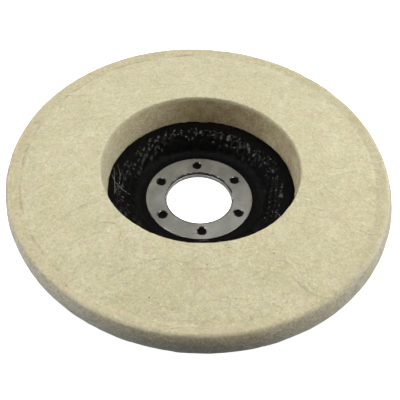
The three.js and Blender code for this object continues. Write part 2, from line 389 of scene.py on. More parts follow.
def felt_material():
    n = new_material("wool_felt")
    r, z = n.radius(), n.height()
    cream, pale = (0.62, 0.585, 0.38), (0.70, 0.670, 0.470)
    pink, green, yellow = (0.64, 0.49, 0.36), (0.50, 0.50, 0.30), (0.63, 0.585, 0.31)
    grey, light = (0.42, 0.393, 0.252), (0.84, 0.805, 0.58)
    light_hair, dark_hair = (0.86, 0.83, 0.68), (0.30, 0.25, 0.17)
    brown, speck = (0.33, 0.25, 0.15), (0.09, 0.07, 0.05)
    colour = n.mix(n.ramp(n.noise(14, 3, 0.6), 0.30, 0.72), cream, pale)
    # wools of different sheep, carded together
    for size, detail, roughness, location, low, high, most, wool in (
        (8, 4, 0.7, (3, 5, 1), 0.52, 0.72, 0.35, pink),
        (3.2, 3, 0.6, (6, 1, 2), 0.48, 0.70, 0.34, pink),
        (3.6, 3, 0.6, (1, 8, 5), 0.46, 0.70, 0.40, green),
        (2.6, 3, 0.6, (4, 4, 7), 0.46, 0.68, 0.45, yellow),
    ):
        patches = n.noise(size, detail, roughness, location=location)
        colour = n.mix(n.ramp(patches, low, high, 0, most), colour, wool)
    # matted fibres: a fine grain, and single hairs lighter or darker than their bed
    grain = n.noise(0.8, 3, 0.8, 0.8)
    colour = n.mix(n.ramp(grain, 0.49, 0.70, 0, 0.75), colour, grey)
    colour = n.mix(n.ramp(grain, 0.49, 0.30, 0, 0.65), colour, light)
    for size, seed, strength, hair_colour in (
        (5, 1.3, 0.25, light_hair), (6.5, 2.1, 0.25, light_hair), (4.2, 3.7, 0.25, light_hair),
        (5.6, 4.9, 0.25, light_hair), (4.6, 6.2, 0.16, dark_hair), (6, 7.7, 0.16, dark_hair),
    ):
        colour = n.mix(n.times(n.strands(size, seed), strength), colour, hair_colour)
    # grime along the lip's crease, most at the back left, and duller felt outside it
    wander = n.ramp(n.noise(12), 0, 1, -0.7, 0.7)
    to_crease = n.math("SUBTRACT", n.math("ADD", r, wander), CREASE_RADIUS)
    crease = n.ramp(n.math("ABSOLUTE", to_crease), 0.8, 0.1, 0, 0.45)
    patchy = n.ramp(n.noise(8, 3, 0.7), 0.42, 0.66)
    back_left = n.ramp(n.along(150), -0.2 * FELT_RADIUS, 0.8 * FELT_RADIUS, 0.35, 1.5)
    colour = n.mix(n.times(crease, n.times(patchy, back_left)), colour, brown)
    colour = n.mix(n.ramp(to_crease, -0.3, 1.5, 0, 0.9), colour, (0.93, 0.905, 0.90), "MULTIPLY")
    # the walls are cut, not pressed: coarse inside the mouth, with painted shade and a part-painted brown tint
    # there, and speckled outside
    inside = n.times(n.ramp(r, *INSIDE_RADII), n.ramp(z, *INSIDE_HEIGHTS))
    coarse = n.ramp(n.noise(1.1, 3, 0.8, 0.6), 0.48, 0.66)
    # painted shade: the back and right of the inner wall are darkened, as less light reaches them
    shaded_sides = n.math("MAXIMUM", n.ramp(n.along(68), 28, 31.5), n.ramp(n.along(-5), 22, 32, 0, 0.9))
    # a brown tint, part dirt and part painted bounce light from the felt, weakest on the well-lit left
    stain_and_bounce = n.times(n.ramp(n.noise(3, 4, 0.7), 0.30, 0.66, 0.2, 0.9), n.ramp(n.along(165), 5, 30, 1.0, 0.45))
    for amount, tint in (
        (coarse, (0.78, 0.74, 0.70)), (shaded_sides, (0.84, 0.80, 0.78)), (stain_and_bounce, (0.68, 0.55, 0.37)),
    ):
        colour = n.mix(n.times(inside, amount), colour, tint, "MULTIPLY")
    speckled = n.times(n.ramp(r, *OUTSIDE_RADII), n.ramp(n.noise(0.8, 3, 0.8), 0.38, 0.62, 0.22, 0.58))
    colour = n.mix(speckled, colour, (0.62, 0.48, 0.46), "MULTIPLY")
    # dark flecks of plant matter, few and small
    cell = n.add("ShaderNodeTexVoronoi", {"Vector": n.place, "Scale": 1 / (FLECK_CELL * MM)}, feature="F1").outputs
    chance = n.add("ShaderNodeSeparateColor", {0: cell["Color"]}).outputs[0]
    fleck = n.times(n.ramp(cell["Distance"], 0.11, 0.05), n.ramp(chance, 0.80, 0.86), 0.75)
    colour = n.mix(fleck, colour, speck)
    normal = n.bump(n.noise(0.35, 3, 0.7, 1.5), 0.10, 0.9)
    normal = n.bump(grain, 0.16, 0.8, normal)
    return n.shader(
        Base_Color=colour, Roughness=0.95, Normal=normal,
        Sheen_Weight=0.2, Sheen_Roughness=0.6, Specular_IOR_Level=0.15,
    )


def fibre_material():
    n = new_material("wool_fibre")
    colour = n.mix(n.noise(4, 2), (0.62, 0.57, 0.42), (0.80, 0.77, 0.64))
    return n.shader(Base_Color=colour, Roughness=0.7, Sheen_Weight=0.3, Specular_IOR_Level=0.3)


def cloth_material():
    n = new_material("black_cloth")
    r = n.radius()
    resin, dusty = (0.0018, 0.0018, 0.0021), (0.0052, 0.0052, 0.0050)
    bend, speckle = (0.0060, 0.0060, 0.0062), (0.0085, 0.0085, 0.0083)
    colour = n.mix(n.ramp(n.noise(6, 4, 0.65), 0.55, 0.8), resin, dusty)
    # painted light: the cloth is made paler on its slope, from r 21.5 outward
    colour = n.mix(n.ramp(r, 21.5, 24.0, 0, 0.5), colour, bend)
    colour = n.mix(n.ramp(n.noise(0.8, 3, 0.7), 0.52, 0.70), colour, speckle)
    # the press left the cloth next to the ring matt
    matt = n.ramp(r, 23.2, 20.8, 0, 0.36)
    roughness = n.math("ADD", n.ramp(n.noise(1.6, 3, 0.6), 0.3, 0.7, 0.13, 0.25), matt)
    normal = n.bump(n.noise(0.7, 2, 0.5), 0.07, 0.5)
    return n.shader(Base_Color=colour, Roughness=roughness, Normal=normal, Specular_IOR_Level=0.072)


def mesh_material():
    n = new_material("glass_mesh")
    colour = n.mix(n.ramp(n.noise(0.6, 3, 0.7), 0.4, 0.7), (0.035, 0.028, 0.020), (0.16, 0.14, 0.10))
    normal = n.bump(n.noise(0.3, 3, 0.6), 0.08, 0.8)
    return n.shader(Base_Color=colour, Roughness=0.65, Normal=normal)


def glue_material():
    n = new_material("glue")
    colour = n.mix(n.noise(2.5, 3, 0.6), (0.16, 0.11, 0.055), (0.33, 0.27, 0.17))
    normal = n.bump(n.noise(0.7, 3, 0.6), 0.08, 0.6)
    roughness = n.ramp(n.noise(1.2), 0.3, 0.7, 0.3, 0.55)
    return n.shader(Base_Color=colour, Roughness=roughness, Normal=normal)


# Radii and heights on the hub rings over which dirt, wear and painted shade set in
PIERCED_BAND = ((12.6, 12.9), (17.2, 16.9))  # the band with the holes: its inner edge and its outer edge
SUNK_DEPTHS = (0.04, 0.07)  # below a ring's outer face
WORN_RADII, WORN_HEIGHTS = (17.3, 17.0), (2.20, 2.26)
FRONT_HALF = (1.2, 1.3)  # heights, so that only the front ring's holes are meant
SOOT_AND_SHADE_REACH = (1.88, 1.74)  # from a hole's centre
GAP_HEIGHTS, GAP_RADII = (1.50, 1.62), (11.70, 11.60)  # between the front ring's bore and the collar
REAR_EDGE_HEIGHTS, REAR_EDGE_RADII = (0.45, 0.25), (12.0, 11.7)
BORE_WALL_RADII = (11.7, 11.5)


def steel_material():
    n = new_material("hub_steel")
    r, z = n.radius(), n.height()
    cloud = n.noise(5, 4, 0.6)
    base = n.mix(n.ramp(cloud, 0.3, 0.7), (0.425, 0.435, 0.41), (0.515, 0.525, 0.495))
    stain = n.ramp(n.noise(1.6, 4, 0.7, location=(2, 7, 4)), 0.56, 0.74)
    base = n.mix(n.times(stain, 0.50), base, (0.24, 0.225, 0.20))
    # a few rust spots, more of them towards +X
    spots = n.noise(2.8, 4, 0.62, location=(5, 1, 9))
    where = n.noise(9, 1, 0.5, location=(8, 2, 3))
    rusty_side = n.math("MAXIMUM", n.ramp(where, 0.50, 0.60), n.ramp(n.along(5), 5, 12))
    rust = n.times(n.ramp(spots, 0.60, 0.72), rusty_side)
    base = n.mix(n.times(rust, 0.75), base, (0.20, 0.10, 0.065))
    # bare metal glints here and there on the rims that are rolled over
    upright = n.math("ABSOLUTE", n.split(n.add("ShaderNodeNewGeometry").outputs["Normal"])["Z"])
    rolled_over = n.times(n.ramp(upright, 0.995, 0.96), n.ramp(upright, 0.70, 0.80))
    worn = n.times(rolled_over, n.ramp(n.noise(1.5, 1), 0.48, 0.54, 0.0, 0.9))
    worn = n.times(worn, n.ramp(r, *WORN_RADII), n.ramp(z, *WORN_HEIGHTS))
    # painted shade in the pierced holes, with resin and soot: on the holes' walls, and round the front ring's holes
    sunk = n.times(n.ramp(z, *(HUB_TOP_Z - depth for depth in SUNK_DEPTHS)), n.ramp(z, *SUNK_DEPTHS))
    on_walls = n.times(sunk, n.times(*(n.ramp(r, *edge) for edge in PIERCED_BAND)))
    fraying = n.math("ADD", n.from_hole(r), n.ramp(n.noise(1.5, 3, 0.7), 0.25, 0.75, -0.22, 0.22))
    around = n.times(n.ramp(fraying, *SOOT_AND_SHADE_REACH), n.ramp(z, *FRONT_HALF))
    soot_and_shade = n.math("MAXIMUM", on_walls, around)
    # painted shade in the recess between the front ring's bore and the collar, reaching further out on the near
    # side, and a painted contact shadow on the bore's rear edge
    reach = n.math("ADD", r, n.ramp(n.along(-90), 0, 8, 0, -0.22))
    reach = n.math("ADD", reach, n.ramp(n.noise(1.4, 3, 0.6), 0.2, 0.8, -0.06, 0.06))
    gap_shade = n.times(n.ramp(z, *GAP_HEIGHTS), n.ramp(reach, *GAP_RADII))
    bore_shade = n.math("MAXIMUM", gap_shade, n.times(n.ramp(z, *REAR_EDGE_HEIGHTS), n.ramp(r, *REAR_EDGE_RADII)))
    # soot, resin and painted shade together, kept off the bare metal
    dirt_and_shade = n.times(n.math("MAXIMUM", soot_and_shade, bore_shade), n.math("SUBTRACT", 1.0, worn))
    # painted shade: the bore's upright walls are given a near-black base
    wall = n.times(n.ramp(upright, 0.5, 0.3), n.ramp(r, *BORE_WALL_RADII))
    base = n.mix(n.times(wall, 0.95), base, (0.09, 0.09, 0.10))
    base = n.mix(n.times(worn, 0.7), base, (0.62, 0.61, 0.60))
    base = n.mix(dirt_and_shade, base, (0.016, 0.013, 0.012))
    dull = n.math("MAXIMUM", n.times(rust, 0.8), dirt_and_shade)
    metal = n.math("SUBTRACT", 1.0, dull)
    satin = n.math("SUBTRACT", n.ramp(cloud, 0.3, 0.7, 0.36, 0.46), n.times(worn, 0.18))
    roughness = n.math("ADD", satin, n.times(dull, 0.3))
    rolled = n.noise(0.22, 2, 0.5, scale=(1, 0.06, 1), rotation=(0, 0, 0.3))
    normal = n.bump(rolled, 0.012, 0.5)
    normal = n.bump(n.noise(0.5, 3, 0.6), 0.012, 0.5, normal)
    return n.shader(Base_Color=base, Metallic=metal, Roughness=roughness, Normal=normal)


# --- the felt

FELT_SEGMENTS = 640
# The felt was pressed and glued by eye, so it stands slightly off the axis and leans. Sideways shift along +X:
OUTER_SHIFT = (-0.5, 0.55)  # of the outer wall's top and bottom
OUTER_SHIFT_Y = (0.1, 0.5)  # the same along +Y
INNER_SHIFT = (0.15, 0.55)  # of the inner wall's top and bottom
MOUTH_SHIFT_Y = 0.25  # of the inner wall's top, along +Y
MOUTH_SPREAD = 0.4  # how much wider than round the mouth is, to each side along X
WALL_BULGE = (0.55, 1.75, -0.6)  # how far the outer wall's bottom, middle and top stand out past the CAD radius
BULGE_Z, BULGE_RADIUS = 11.2, 12  # height and rounding of the bulge
WALL_TOP_Z = 15.8  # where the outer wall's lean starts
FELT_MIDDLE_Z = 12  # between its underside and its face
ROLL_RISE, ROLL_RADIUS = 0.4, 1.2  # of the rolled lip, above its crease
MOUTH_ROLL = 0.42  # rounding of the mouth's edge
FACE_PROUD = 0.09  # how far the pressed face stands above the CAD's
TILT = 0.8  # how much higher the rim is at the back, and lower at the front


def felt_outline():
    """The felt's section: foot, outer wall, rolled lip, coned face and mouth."""
    foot_z = felt_underside_z(FELT_FOOT_RADIUS)
    lip_z = MOUTH_Z + FACE_PROUD - (LIP_RADIUS - FELT_MOUTH_RADIUS) * math.tan(FACE_ANGLE)
    return rounded([
        (FELT_FOOT_RADIUS, foot_z, 0.25),
        (FELT_RADIUS + WALL_BULGE[0], felt_underside_z(FELT_RADIUS), 0.9),
        (FELT_RADIUS + WALL_BULGE[1], BULGE_Z, BULGE_RADIUS),
        (FELT_RADIUS + WALL_BULGE[2], lip_z + ROLL_RISE, ROLL_RADIUS),
        (LIP_RADIUS, lip_z, 0),
        (FELT_MOUTH_RADIUS, MOUTH_Z + FACE_PROUD, MOUTH_ROLL),
    ])


def felt_spacing(middle):
    """Close rows where the felt shows, and wide ones over the glue."""
    hidden = middle[1] < felt_underside_z(middle[0]) + 0.2 and FELT_FOOT_RADIUS + 1 < middle[0] < RIM_RADIUS
    return 2.0 if hidden else 0.45


def between(ends, amount):
    """From the first end at 0 to the second at 1."""
    return ends[0] + (ends[1] - ends[0]) * amount


def lean(points):
    """The felt's points, shifted and tilted as it is glued."""
    r = np.hypot(points[..., 0], points[..., 1])
    outward = smooth_step(FELT_MOUTH_RADIUS, FELT_RADIUS, r)
    down = np.clip((MOUTH_Z - points[..., 2]) / (MOUTH_Z - felt_underside_z(FELT_FOOT_RADIUS)), 0, 1)
    fall = np.clip((WALL_TOP_Z - points[..., 2]) / (WALL_TOP_Z - FELT_LOW_Z), 0, 1)
    at_mouth = (1 - outward) * (1 - down)
    inner, outer = between(INNER_SHIFT, down), between(OUTER_SHIFT, fall)
    leaned = points.copy()
    leaned[..., 0] += between((inner, outer), outward)
    leaned[..., 0] += MOUTH_SPREAD * points[..., 0] / FELT_MOUTH_RADIUS * at_mouth
    leaned[..., 1] += between(OUTER_SHIFT_Y, fall) * outward + MOUTH_SHIFT_Y * at_mouth
    leaned[..., 2] += TILT * points[..., 1] / FELT_RADIUS * outward * (1 - fall)
    return leaned


def felt_relief(points, r):
    """How far the felt's surface stands out, in millimetres."""
    z = points[..., 2]
    relief = 0.08 * bumps(points, 17, 1) + 0.06 * bumps(points, 6.5, 2)
    relief += 0.055 * rough(points, 2.4, 3, 5)
    # a wandering crease in the face along the lip
    crease = np.exp(-(((r - LIP_RADIUS - 0.35 * bumps(points, 14, 9)) / 0.75) ** 2))
    relief -= crease * (0.08 + 0.08 * bumps(points, 9, 12)) * (z > FELT_MIDDLE_Z)
    # the inner wall's foot is cut raggedly
    foot = smooth_step(9.5, 8.2, z) * smooth_step(34, 33, r)
    relief += foot * 0.13 * rough(points, 2.2, 2, 15)
    return relief


def make_felt(material):
    outline = resample(felt_outline(), felt_spacing)
    rings = revolve(outline, FELT_SEGMENTS)
    outward = revolve(section_normals(outline), FELT_SEGMENTS)
    r = np.hypot(rings[..., 0], rings[..., 1])
    glued = (outward[..., 2] < -0.9) & (r < RIM_RADIUS)
    relief = np.where(glued, 0, felt_relief(rings, r))
    rings = lean(rings + outward * relief[..., None])
    piece = build_closed("felt_ring_soft", rings, material, "felt_ring")
    return piece


# --- cloth plies

WEAVE_PITCH = 2.3  # between neighbouring yarns
WEAVE_ANGLE = math.radians(-17)
WEAVE_HEIGHT = 0.38  # from a valley to a crown
WEFT_SUNK = 0.28  # how much lower the second family of yarns lies
WEAVE_MIDDLE = 0.55  # the part of the weave's height that lies on the ply's nominal surface
PRESSED_RADIUS = 22.0  # inside it the press has squashed the weave almost flat
COVER_MARGIN = 0.6  # how far the fine rows of a cloth ply reach in under its hub ring


def yarn(own, other, parity, seed):
    """The height of one family of yarns, from 0 to 1, over the cloth measured in pitches."""
    index = np.round(own)
    section = np.clip(1 - ((own - index) / 0.58) ** 2, 0, 1)
    crown = 0.5 + 0.5 * np.cos(np.pi * (other + index + parity))
    lie = np.stack([index * 3.3, np.floor((other + index + parity + 1) / 2) * 3.3, 0 * own + seed], axis=-1)
    tilt = bumps(lie, 1.0, seed) * (own - index) + bumps(lie, 1.0, seed + 1) * (crown - 0.5)
    return section * (0.30 + 0.70 * crown**1.4 + 0.8 * tilt)


def weave(x, y):
    """The relief of a plain weave soaked in resin, from about 0 in a valley to 1 on a crown."""
    flat = np.stack([x, y, 0 * x], axis=-1)
    along = (x * math.cos(WEAVE_ANGLE) + y * math.sin(WEAVE_ANGLE)) / WEAVE_PITCH + 0.25 * bumps(flat, 5, 21)
    across = (-x * math.sin(WEAVE_ANGLE) + y * math.cos(WEAVE_ANGLE)) / WEAVE_PITCH + 0.25 * bumps(flat, 5, 22)
    warp = yarn(along, across, 0, 71)
    weft = yarn(across, along, 1, 81) - WEFT_SUNK
    return np.maximum(warp, weft) * (1 + 0.45 * bumps(flat, 3.1, 24)) + 0.12 * rough(flat, 1.1, 2, 25)


def plain_side(radii, depth, segments):
    """A face of a ply, with its rows at radii, at a depth below the plate's front surface."""
    return revolve(np.stack([radii, plate_z(radii, depth)], axis=-1), segments)


def woven_side(radii, depth, facing, segments, shown_at, offset=0):
    """A face with the weave in relief, looking up (facing 1) or down (-1); shown_at(r) is the part that shows."""
    side = plain_side(radii, depth + facing * LAYER_GAP / 2, segments)
    slope = np.gradient(plate_z(radii, depth), radii)
    steep = np.sqrt(1 + slope**2)[:, None]
    normal = revolve(facing * np.stack([-slope, np.ones_like(slope)], axis=-1) / steep, segments)
    r = np.hypot(side[..., 0], side[..., 1])
    shown = smooth_step(HUB_RADIUS - 0.3, HUB_RADIUS + 0.7, r) * shown_at(r)
    height = WEAVE_HEIGHT * (weave(side[..., 0] + offset, side[..., 1]) - WEAVE_MIDDLE) * shown
    return side + normal * height[..., None]


def front_weave_shown(r):
    """The weave is pressed flat near the ring, half filled with resin on the crest, and level under the felt."""
    pressed_flat = 0.28 + 0.72 * smooth_step(PRESSED_RADIUS, PRESSED_RADIUS + 3.5, r)
    filled = 1 - 0.5 * smooth_step(27.8, 29.4, r)
    under_felt = 1 - smooth_step(32.2, 33.0, r)
    return pressed_flat * filled * under_felt


def make_front_cloth(material):
    segments = 840
    fine_from, fine_to = HUB_RADIUS - COVER_MARGIN, FELT_FOOT_RADIUS + 1.4
    covered = np.linspace(PLATE_BORE_RADIUS, fine_from, 6, endpoint=False)
    radii = np.concatenate([covered, np.arange(fine_from, fine_to, 0.21), np.linspace(fine_to, RIM_RADIUS, 14)])
    front_depth, rear_depth = PLIES["front_cloth_ply"]
    front = woven_side(radii, front_depth, 1, segments, front_weave_shown)
    rear_radii = radii[::8]
    rear_radii = np.append(rear_radii, RIM_RADIUS) if rear_radii[-1] < RIM_RADIUS else rear_radii
    rear = plain_side(rear_radii, rear_depth - LAYER_GAP / 2, segments)
    rings = np.concatenate([rear, front[::-1]])
    return build_closed("front_cloth_skin", rings, material, "front_cloth_ply")


def make_rear_cloth(material):
    segments = 600
    fine_from = HUB_RADIUS - COVER_MARGIN
    covered = np.linspace(PLATE_BORE_RADIUS, fine_from, 5, endpoint=False)
    radii = np.concatenate([covered, np.arange(fine_from, RIM_RADIUS, 0.36), [RIM_RADIUS]])
    front_depth, rear_depth = PLIES["rear_cloth_ply"]
    rear = woven_side(radii, rear_depth, -1, segments, np.ones_like, offset=40)
    front = plain_side(np.append(radii[:-1:10], RIM_RADIUS), front_depth + LAYER_GAP / 2, segments)
    rings = np.concatenate([rear, front[::-1]])
    return build_closed("rear_cloth_skin", rings, material, "rear_cloth_ply")


def make_mesh_ply(node, material, seed):
    """A structural ply, whose cut edges at the bore and the rim are a little ragged."""
    segments = 480
    front_depth, rear_depth = PLIES[node]
    front = plate_section(front_depth + LAYER_GAP / 2)
    rear = plate_section(rear_depth - LAYER_GAP / 2)
    section = np.concatenate([rear, front[::-1]])
    rings = revolve(section, segments)
    r = np.hypot(rings[..., 0], rings[..., 1])
    ragged = 0.10 * rough(rings, 1.5, 3, seed)
    stretch = 1 + ragged / r * ((r > RIM_RADIUS - 0.5) | (r < PLATE_BORE_RADIUS + 0.2))
    rings[..., :2] *= stretch[..., None]
    return build_closed(node + "_cut", rings, material, node)


# --- glue


GLUE_EDGE_SHIFT = (0.25, 0.15)  # mean shift away from the axis of the glue's inner and outer edges
GLUE_SWELL = 0.22  # how lumpy those edges are


def make_glue(material):
    segments = 600
    inner, outer = FELT_FOOT_RADIUS - 0.25, RIM_RADIUS - 0.3
    radii = np.concatenate([np.linspace(inner, inner + 2, 10, endpoint=False), np.linspace(inner + 2, outer, 12)])
    bottom = np.stack([radii, plate_z(radii, -LAYER_GAP / 2)], axis=-1)
    top = np.stack([radii, felt_underside_z(radii) - 0.01], axis=-1)[::-1]
    rings = revolve(np.concatenate([bottom, top]), segments)
    r = np.hypot(rings[..., 0], rings[..., 1])
    swell = GLUE_SWELL * rough(rings, 3.5, 3, 31)
    at_inner, at_outer = r < inner + 0.35, r > outer - 0.35
    shift = np.where(at_inner, GLUE_EDGE_SHIFT[0] + swell, 0) + np.where(at_outer, GLUE_EDGE_SHIFT[1] + swell, 0)
    rings[..., :2] *= (1 + shift / r)[..., None]
    rings[..., 0] += INNER_SHIFT[1] * smooth_step(inner + 6, inner, r)
    return build_closed("glue_bead", rings, material, "glue_bed")


# --- hub rings

RING_SEGMENTS = 288
HOLE_STEPS = 48
SUPPORT = 0.06  # a narrow strip beside each bend, so that the flat faces shade flat
COLLAR_LIP = 0.12  # rounding of the collar's end
BURR_RAGGED = 0.16  # how much the burrs' ends differ in height
RING_WARP = 0.012  # how far the rings' faces fall from flat, at most twice


def circle(radius, z, steps=RING_SEGMENTS, centre=(0.0, 0.0)):
    """A loop of points."""
    turn = np.linspace(0, 2 * np.pi, steps, endpoint=False)
    return np.stack([centre[0] + radius * np.cos(turn), centre[1] + radius * np.sin(turn), z + 0 * turn], axis=-1)


def rolled_mouth(radius, roll, arc_steps, loop_steps=RING_SEGMENTS, centre=(0.0, 0.0)):
    """Loops over a rolled edge, from the flat face at z = 0 down into the wall of an opening of that radius."""
    return [
        circle(radius + roll * (1 - math.sin(t)), -roll * (1 - math.cos(t)), loop_steps, centre)
        for t in np.linspace(0, math.pi / 2, arc_steps)
    ]


def strip(loops):
    """Points and quads joining a list of loops of equal length, in order."""
    rings = np.array(loops)
    return rings.reshape(-1, 3), grid_quads(len(rings), rings.shape[1], False)


def pierced_face(inner_radius, outer_radius, hole_radius, hole_centres, z, facing):
    """A flat face between two circles, less round holes, as triangles, with loose points inside to shape it."""
    loops = [circle(outer_radius, z), circle(inner_radius, z)]
    loops += [circle(hole_radius, z, HOLE_STEPS, centre) for centre in hole_centres]
    points, edges = [], []
    for loop in loops:
        start = len(points)
        points += [Vector(p[:2]) for p in loop]
        edges += [(start + k, start + (k + 1) % len(loop)) for k in range(len(loop))]
    for r in np.arange(inner_radius + 0.7, outer_radius - 0.5, 0.8):
        for x, y, _ in circle(r, 0, int(2 * np.pi * r / 0.9)):
            if all(math.hypot(x - cx, y - cy) > hole_radius + 0.35 for cx, cy in hole_centres):
                points.append(Vector((x, y)))
    flat, _, triangles, *_ = geometry.delaunay_2d_cdt(points, edges, [], 0, 1e-6)
    kept = []
    for triangle in triangles:
        x, y = sum((flat[i] for i in triangle), Vector((0, 0))) / 3
        in_hole = any(math.hypot(x - cx, y - cy) < hole_radius for cx, cy in hole_centres)
        if inner_radius < math.hypot(x, y) < outer_radius and not in_hole:
            kept.append(triangle if facing > 0 else triangle[::-1])
    return np.array([(p.x, p.y, z) for p in flat]), kept


def join(parts):
    """One list of points and one of faces from several, with points that coincide merged."""
    points, faces = [], []
    for part_points, part_faces in parts:
        start = len(points)
        points += [tuple(p) for p in part_points]
        faces += [[int(i) + start for i in face] for face in part_faces]
    found, merged, index = {}, [], []
    for p in points:
        key = tuple(round(float(c) * 1e4) for c in p)
        if key not in found:
            found[key] = len(merged)
            merged.append(p)
        index.append(found[key])
    kept = [[index[i] for i in face] for face in faces]
    kept = [face for face in kept if len(set(face)) > 2]
    used = sorted({i for face in kept for i in face})
    place = {old: new for new, old in enumerate(used)}
    return np.array([merged[i] for i in used]), [[place[i] for i in face] for face in kept]


def hole_loops(centre, seed):
    """The loops of one pierced hole: a rolled-over mouth, its wall, a ragged burr, and the burr's outside."""
    loops = [circle(HOLE_RADIUS + HOLE_ROLLOVER + SUPPORT, 0, HOLE_STEPS, centre)]
    loops += rolled_mouth(HOLE_RADIUS, HOLE_ROLLOVER, 8, HOLE_STEPS, centre)
    for loop in loops[2:]:
        ragged = 1 + 0.05 * rough(loop * (1, 1, 0), 1.3, 2, seed + 20)[:, None]
        loop[:, :2] = np.array(centre) + (loop[:, :2] - centre) * ragged
    loops.append(circle(HOLE_RADIUS, -HUB_SHEET, HOLE_STEPS, centre))
    tip = -HUB_SHEET - BURR_DEPTH
    for widening, z in ((0.02, tip + 0.08), (0.06, tip), (BURR_TIP_WALL, tip + 0.05)):
        loop = circle(HOLE_RADIUS + widening, z, HOLE_STEPS, centre)
        loop[:, 2] += BURR_RAGGED * (1 + bumps(loop, 0.9, seed))
        loops.append(loop)
    loops.append(circle(HOLE_RADIUS + BURR_ROOT_WALL, -HUB_SHEET, HOLE_STEPS, centre))
    return loops


def collar_loops(bore, neck, low):
    """The loops of a collar that lines the bore: its inside, its rounded end, and its outside up to the ring."""
    middle, half = (bore + neck) / 2, (neck - bore) / 2
    loops = [circle(bore, low + COLLAR_LIP + SUPPORT)]
    for t in np.linspace(0, math.pi, 9):
        loops.append(circle(middle - half * math.cos(t), low + COLLAR_LIP * (1 - math.sin(t))))
    return loops + [circle(neck, -HUB_SHEET)]


def make_hub_ring(name, node, material, bore, collar_height, hole_start, seat_z, facing):
    """A stamped ring, made with its outer face up at z = 0 and then placed with that face at seat_z."""
    angles = [math.radians(hole_start + 360 / HOLE_COUNT * k) for k in range(HOLE_COUNT)]
    centres = [(HOLE_CIRCLE_RADIUS * math.cos(a), HOLE_CIRCLE_RADIUS * math.sin(a)) for a in angles]
    inner_face, outer_face = bore + EDGE_ROLL + SUPPORT, HUB_RADIUS - HUB_EDGE - SUPPORT
    mouth, root = HOLE_RADIUS + HOLE_ROLLOVER + SUPPORT, HOLE_RADIUS + BURR_ROOT_WALL
    neck = bore + COLLAR_WALL if collar_height else bore
    outer = [circle(HUB_RADIUS, -HUB_SHEET), circle(HUB_RADIUS, -HUB_SHEET + SUPPORT)]
    for t in np.linspace(0, math.pi / 2, 5):
        outer.append(circle(HUB_RADIUS - HUB_EDGE * (1 - math.cos(t)), -HUB_EDGE * (1 - math.sin(t))))
    outer.append(circle(outer_face, 0))
    inner = [circle(inner_face, 0)] + rolled_mouth(bore, EDGE_ROLL, 9)
    low = -HUB_SHEET - collar_height
    inner += collar_loops(bore, neck, low) if collar_height else [circle(bore, low)]
    points, faces = join([
        pierced_face(inner_face, outer_face, mouth, centres, 0.0, 1),
        pierced_face(neck, HUB_RADIUS, root, centres, -HUB_SHEET, -1),
        strip(outer),
        strip(inner),
        *(strip(hole_loops(centre, 60 + k)) for k, centre in enumerate(centres)),
    ])
    from_bore = np.hypot(*points[:, :2].T) - bore
    points[:, 2] += RING_WARP * (bumps(points * (1, 1, 0), 6, 41) - 1) * smooth_step(0, 1.2, from_bore)
    if facing < 0:
        points[:, 1:] *= -1
    points[:, 2] += seat_z
    return build(name, points, faces, material, node)


# --- loose fibres


def fibre_tubes(paths, radii):
    """Points and faces of thin three-sided threads along paths, a (count, steps, 3) array, with closed ends."""
    count, steps, _ = paths.shape
    along = np.gradient(paths, axis=1)
    along /= np.linalg.norm(along, axis=2, keepdims=True) + 1e-12
    side = np.cross(along, (0.31, 0.52, 0.79))
    side /= np.linalg.norm(side, axis=2, keepdims=True) + 1e-12
    other = np.cross(along, side)
    taper = np.sqrt(np.clip(1 - np.linspace(-1, 1, steps) ** 4, 0.08, 1))
    thick = radii[:, None, None] * taper[None, :, None]
    turns = (0, 2 * math.pi / 3, 4 * math.pi / 3)
    loops = np.stack([paths + thick * (side * math.cos(a) + other * math.sin(a)) for a in turns], axis=2)
    index = np.arange(count * steps * 3).reshape(count, steps, 3)
    right = np.roll(index, -1, axis=2)
    quads = np.stack([index[:, :-1], right[:, :-1], right[:, 1:], index[:, 1:]], axis=-1).reshape(-1, 4)
    ends = np.concatenate([index[:, 0, ::-1], index[:, -1]])
    return loops.reshape(-1, 3), quads.tolist() + ends.tolist()


class FeltSkin:
    """The felt's outer surface, found from a distance along its section and an azimuth."""

    def __init__(self):
        outline = felt_outline()
        normals = section_normals(outline)
        self.section = np.concatenate([outline, outline[:1]])
        self.normals = np.concatenate([normals, normals[:1]])
        steps = np.linalg.norm(np.diff(self.section, axis=0), axis=1)
        self.length = np.concatenate([[0], np.cumsum(steps)])

    def place(self, s):
        """The radius and height at a distance along the section."""
        return [np.interp(s, self.length, self.section[:, k]) for k in (0, 1)]

    def at(self, s, azimuth, lift):
        """Points lifted off the finished felt, with its relief and its lean."""
        r, z = self.place(s)
        nr, nz = (np.interp(s, self.length, self.normals[:, k]) for k in (0, 1))
        flat = np.stack([r * np.cos(azimuth), r * np.sin(azimuth), z], axis=-1)
        out = lift + felt_relief(flat, r)
        r, z = r + nr * out, z + nz * out
        return lean(np.stack([r * np.cos(azimuth), r * np.sin(azimuth), z], axis=-1))


